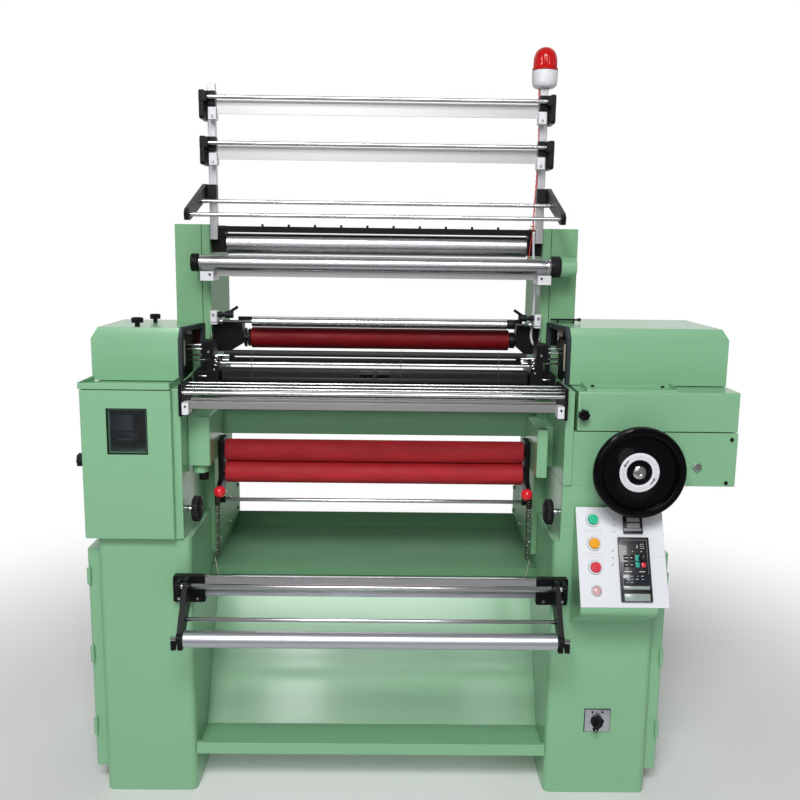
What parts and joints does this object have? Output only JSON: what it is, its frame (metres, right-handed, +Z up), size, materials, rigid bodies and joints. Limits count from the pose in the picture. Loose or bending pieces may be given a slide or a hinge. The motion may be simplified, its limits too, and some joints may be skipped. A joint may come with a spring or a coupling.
{
  "type": "crochet knitting machine",
  "caption": "Floor-standing warp knitting machine for narrow fabrics, with yarn guide bars, feed and take-up rollers, needle bed, gearbox with handwheel and control console.",
  "frame": {"origin": "on the floor, under the middle of the machine's box", "axes": "+Z up, +X to the operator's right along the knitting width, +Y from the operator to the back"},
  "size_m": [1.628, 0.8178, 1.925],
  "materials": {
    "green_paint": "glossy enamel",
    "bright_steel": "ground and polished",
    "aluminium_bar": "brushed",
    "black_metal": "satin black",
    "black_plastic": "moulded",
    "white_plastic": "moulded",
    "red_rubber": "ground rubber cover",
    "black_gloss": "polished phenolic",
    "window_glass": "clear pane",
    "red_lens": "clear red dome",
    "white_panel": "smooth white",
    "grey_pad": "moulded",
    "green_button": "moulded",
    "yellow_button": "moulded",
    "red_button": "moulded",
    "motor_grey": "painted casting",
    "belt_rubber": "cloth-backed",
    "cable_sheath": "twisted lead",
    "spring_steel": "oiled",
    "red_ball": "moulded"
  },
  "bodies": {
    "frame": {"left_pedestal": "green_paint", "right_pedestal": "green_paint", "left_pillar": "green_paint", "right_pillar": "green_paint", "floor_trough": "green_paint", "chute_panel": "green_paint", "cloth_deck": "green_paint", "left_cabinet": "green_paint", "gearbox_case": "green_paint", "cross_beam": "green_paint", "posts": "bright_steel", "black_clamps": "black_plastic", "end_blocks": "white_plastic", "guide_rods": "bright_steel", "guide_strips": "aluminium_bar", "beacon_base": "white_plastic", "beacon_lens": "red_lens", "beacon_cable": "cable_sheath", "roller_bearings": "black_metal", "roller_housings": "green_paint", "presser_bar": "black_metal", "bed_beam": "black_metal", "front_rods": "bright_steel", "pull_springs": "spring_steel", "tension_blocks": "black_plastic", "tension_strip": "aluminium_bar", "motor": "motor_grey", "drive_belt": "belt_rubber", "console_case": "green_paint", "console_panel": "white_panel", "keypad_module": "grey_pad", "switch_and_bezels": "white_plastic"},
    "cabinet_door": {"cabinet_door": "green_paint", "door_window": "window_glass"},
    "left_hood": {"left_hood": "green_paint"},
    "right_hood": {"right_hood": "green_paint"},
    "gearbox_hood": {"gearbox_hood": "green_paint"},
    "left_side_door": {"left_side_door": "green_paint"},
    "right_side_door": {"right_side_door": "green_paint"},
    "main_shaft": {"main_shaft": "bright_steel"},
    "handwheel": {"handwheel": "black_gloss"},
    "motor_pulley": {"motor_pulley": "bright_steel"},
    "feed_roller_rear": {"feed_roller_rear": "bright_steel"},
    "feed_roller_front": {"feed_roller_front": "bright_steel"},
    "guide_roller": {"guide_roller": "bright_steel"},
    "rear_roller": {"rear_roller": "red_rubber"},
    "takeup_upper": {"takeup_roller_upper": "red_rubber"},
    "takeup_lower": {"takeup_roller_lower": "red_rubber"},
    "needle_comb": {"needle_comb": "bright_steel"},
    "weft_bar": {"weft_bar": "black_metal"},
    "release_levers": {"release_levers": "red_ball"},
    "left_hand_knob": {"left_hand_knob": "black_plastic"},
    "right_hand_knob": {"right_hand_knob": "black_plastic"},
    "tension_arms": {"tension_arms": "black_metal"},
    "tension_roller": {"tension_roller": "bright_steel"},
    "start_button": {"start_button": "green_button"},
    "jog_button": {"jog_button": "yellow_button"},
    "stop_button": {"stop_button": "red_button"},
    "speed_knob": {"speed_knob": "black_plastic"},
    "main_switch": {"main_switch": "black_plastic"}
  },
  "joints": [
    {"name": "cabinet_door_hinge", "type": "hinge", "parent": "frame", "child": "cabinet_door", "pos_m": [-0.575, -0.269, 0.88], "axis": [0, 0, 1], "range_deg": [0, 100]},
    {"name": "left_hood_hinge", "type": "hinge", "parent": "frame", "child": "left_hood", "pos_m": [-0.8, -0.024, 1.072], "axis": [0, -1, 0], "range_deg": [0, 75]},
    {"name": "right_hood_hinge", "type": "hinge", "parent": "frame", "child": "right_hood", "pos_m": [0.81, 0.004, 1.074], "axis": [0, 1, 0], "range_deg": [0, 75]},
    {"name": "gearbox_hood_hinge", "type": "hinge", "parent": "frame", "child": "gearbox_hood", "pos_m": [0.613, -0.149, 1.072], "axis": [-1, 0, 0], "range_deg": [0, 45]},
    {"name": "left_side_door_hinge", "type": "hinge", "parent": "frame", "child": "left_side_door", "pos_m": [-0.804, -0.228, 0.35], "axis": [0, 0, 1], "range_deg": [0, 110]},
    {"name": "right_side_door_hinge", "type": "hinge", "parent": "frame", "child": "right_side_door", "pos_m": [0.664, -0.228, 0.35], "axis": [0, 0, -1], "range_deg": [0, 110]},
    {"name": "main_shaft_spin", "type": "hinge", "parent": "frame", "child": "main_shaft", "pos_m": [-0.086, 0.046, 1], "axis": [1, 0, 0], "continuous": true},
    {"name": "handwheel_spin", "type": "hinge", "parent": "frame", "child": "handwheel", "pos_m": [0.553, -0.319, 0.889], "axis": [0, 1, 0], "continuous": true},
    {"name": "motor_spin", "type": "hinge", "parent": "frame", "child": "motor_pulley", "pos_m": [0.604, 0.046, 0.115], "axis": [1, 0, 0], "continuous": true},
    {"name": "feed_roller_rear_spin", "type": "hinge", "parent": "frame", "child": "feed_roller_rear", "pos_m": [-0.086, 0.056, 1.417], "axis": [1, 0, 0], "continuous": true},
    {"name": "feed_roller_front_spin", "type": "hinge", "parent": "frame", "child": "feed_roller_front", "pos_m": [-0.086, -0.054, 1.368], "axis": [1, 0, 0], "continuous": true},
    {"name": "guide_roller_spin", "type": "hinge", "parent": "frame", "child": "guide_roller", "pos_m": [-0.086, 0.001, 1.212], "axis": [1, 0, 0], "continuous": true},
    {"name": "rear_roller_spin", "type": "hinge", "parent": "frame", "child": "rear_roller", "pos_m": [-0.086, 0.043, 1.166], "axis": [1, 0, 0], "continuous": true},
    {"name": "takeup_upper_spin", "type": "hinge", "parent": "frame", "child": "takeup_upper", "pos_m": [-0.086, -0.044, 0.872], "axis": [1, 0, 0], "continuous": true},
    {"name": "takeup_lower_spin", "type": "hinge", "parent": "frame", "child": "takeup_lower", "pos_m": [-0.086, -0.044, 0.8126], "axis": [1, 0, 0], "continuous": true},
    {"name": "needle_bar_stroke", "type": "slide", "parent": "frame", "child": "needle_comb", "axis": [0, 1, 0], "range_m": [-0.006, 0.006]},
    {"name": "weft_bar_shog", "type": "slide", "parent": "frame", "child": "weft_bar", "axis": [1, 0, 0], "range_m": [-0.01, 0.01]},
    {"name": "release_lever_lift", "type": "hinge", "parent": "frame", "child": "release_levers", "pos_m": [-0.086, -0.124, 0.757], "axis": [1, 0, 0], "range_deg": [-30, 0], "stiffness_Nm_per_rad": 2, "springref_deg": 8.59, "deforming": ["pull_springs"]},
    {"name": "left_hand_knob_spin", "type": "hinge", "parent": "frame", "child": "left_hand_knob", "pos_m": [-0.526, -0.204, 0.755], "axis": [1, 0, 0], "continuous": true},
    {"name": "right_hand_knob_spin", "type": "hinge", "parent": "frame", "child": "right_hand_knob", "pos_m": [0.354, -0.204, 0.755], "axis": [1, 0, 0], "continuous": true},
    {"name": "tension_arms_swing", "type": "hinge", "parent": "frame", "child": "tension_arms", "pos_m": [-0.086, -0.302, 0.586], "axis": [1, 0, 0], "range_deg": [-60, 0]},
    {"name": "tension_roller_spin", "type": "hinge", "parent": "tension_arms", "child": "tension_roller", "pos_m": [-0.086, -0.389, 0.488], "axis": [1, 0, 0], "continuous": true},
    {"name": "start_button_press", "type": "slide", "parent": "frame", "child": "start_button", "axis": [0, 0.8886, -0.4586], "range_m": [0, 0.004], "stiffness_N_per_m": 300},
    {"name": "jog_button_press", "type": "slide", "parent": "frame", "child": "jog_button", "axis": [0, 0.8886, -0.4586], "range_m": [0, 0.004], "stiffness_N_per_m": 300},
    {"name": "stop_button_press", "type": "slide", "parent": "frame", "child": "stop_button", "axis": [0, 0.8886, -0.4586], "range_m": [0, 0.004], "stiffness_N_per_m": 300},
    {"name": "speed_knob_turn", "type": "hinge", "parent": "frame", "child": "speed_knob", "pos_m": [0.571, -0.3158, 0.67198], "axis": [0, -0.8886, 0.4586], "range_deg": [-140, 140]},
    {"name": "main_switch_turn", "type": "hinge", "parent": "frame", "child": "main_switch", "pos_m": [0.5, -0.248, 0.206], "axis": [0, 1, 0], "range_deg": [0, 90]}
  ],
  "couplings": [
    {"joint": "handwheel_spin", "follows": "main_shaft_spin", "ratio": 1.4556},
    {"joint": "motor_spin", "follows": "main_shaft_spin", "ratio": 1.6571},
    {"joint": "takeup_lower_spin", "follows": "takeup_upper_spin", "ratio": -1}
  ]
}
